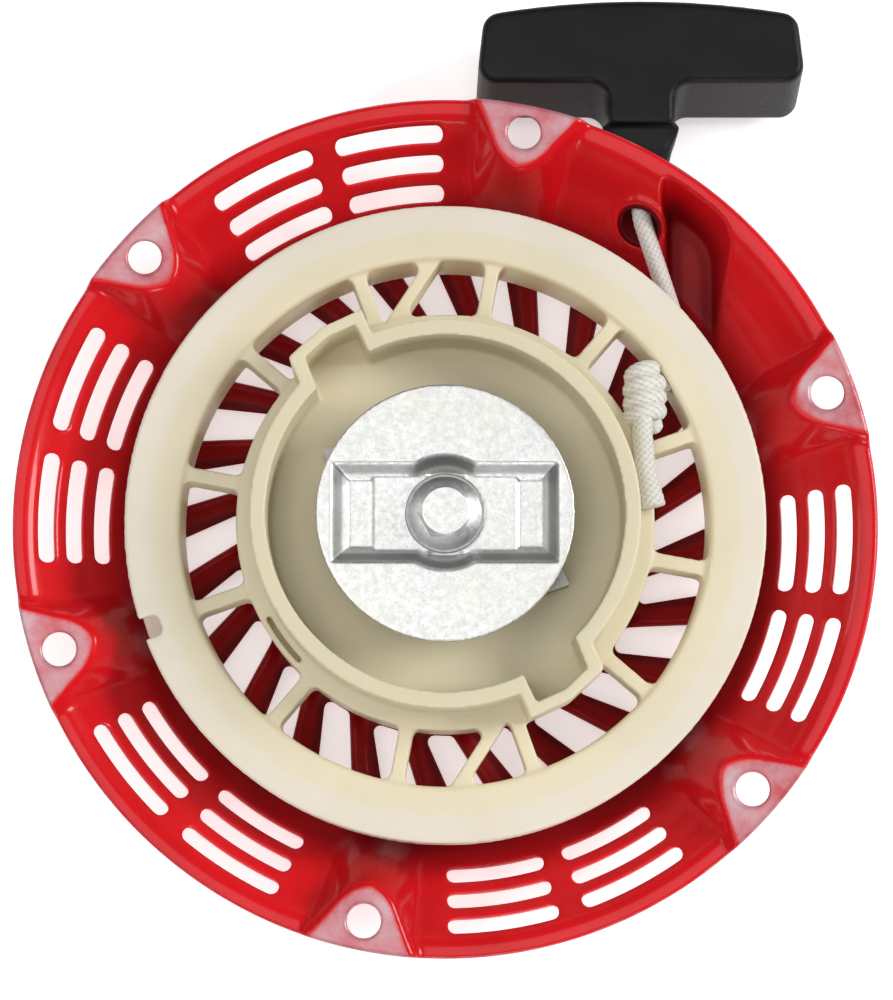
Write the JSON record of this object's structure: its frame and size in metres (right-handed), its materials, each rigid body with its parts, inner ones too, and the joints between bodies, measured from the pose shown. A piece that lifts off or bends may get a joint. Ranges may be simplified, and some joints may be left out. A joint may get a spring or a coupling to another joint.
{
  "type": "recoil starter",
  "caption": "Round pull starter: stamped vented case, nylon rope reel with pawl clutch, and a T-grip rope that spins the reel and winds back by spring.",
  "frame": {"origin": "centre of the six-bolt circle, on the plane of the mounting lands", "axes": "+Z along the spin axis towards the engine, +Y along the pull of the rope"},
  "size_m": [0.18, 0.2019, 0.0421],
  "materials": {
    "red_paint": "gloss",
    "zinc": "satin",
    "nylon": "satin",
    "spring_steel": "satin",
    "pawl_steel": "satin",
    "rope": "matt",
    "black_plastic": "satin"
  },
  "bodies": {
    "case": {"housing": "red_paint", "centre_post": "zinc", "bolt_washer": "zinc", "centre_bolt": "zinc", "rewind_spring": "spring_steel", "rope_lead": "rope"},
    "reel": {"reel": "nylon", "rope_windings": "rope", "rope_knot": "rope", "rope_tail": "rope", "pawl_spring_a": "spring_steel", "pawl_spring_b": "spring_steel"},
    "guide": {"ratchet_guide": "zinc", "friction_spring": "spring_steel"},
    "pawl_a": {"pawl_a": "pawl_steel"},
    "pawl_b": {"pawl_b": "pawl_steel"},
    "grip": {"handle_grip": "black_plastic", "handle_washer": "zinc", "handle_knot": "rope", "handle_cap": "black_plastic", "rope_pull": "rope"}
  },
  "joints": [
    {"name": "reel_spin", "type": "hinge", "parent": "case", "child": "reel", "pos_m": [0, 0, 0], "axis": [0, 0, 1], "range_deg": [0, 1080], "stiffness_Nm_per_rad": 0.036, "springref_deg": -956.84, "deforming": ["rewind_spring"]},
    {"name": "handle_pull", "type": "slide", "parent": "case", "child": "grip", "axis": [0, 1, 0], "range_m": [0, 1.131], "deforming": ["rope_pull"]},
    {"name": "guide_turn", "type": "hinge", "parent": "reel", "child": "guide", "pos_m": [0, 0, 0.01], "axis": [0, 0, 1], "range_deg": [-18, 0]},
    {"name": "pawl_a_swing", "type": "hinge", "parent": "reel", "child": "pawl_a", "pos_m": [-0.0006, 0.0175, 0.002], "axis": [0, 0, 1], "range_deg": [-15.84, 0], "deforming": ["pawl_spring_a"]},
    {"name": "pawl_b_swing", "type": "hinge", "parent": "reel", "child": "pawl_b", "pos_m": [0.0006, -0.0175, 0.002], "axis": [0, 0, 1], "range_deg": [-15.84, 0], "deforming": ["pawl_spring_b"]}
  ],
  "couplings": [
    {"joint": "handle_pull", "follows": "reel_spin", "m_per_rad": 0.06},
    {"joint": "pawl_a_swing", "follows": "guide_turn", "ratio": 0.88},
    {"joint": "pawl_b_swing", "follows": "guide_turn", "ratio": 0.88}
  ]
}
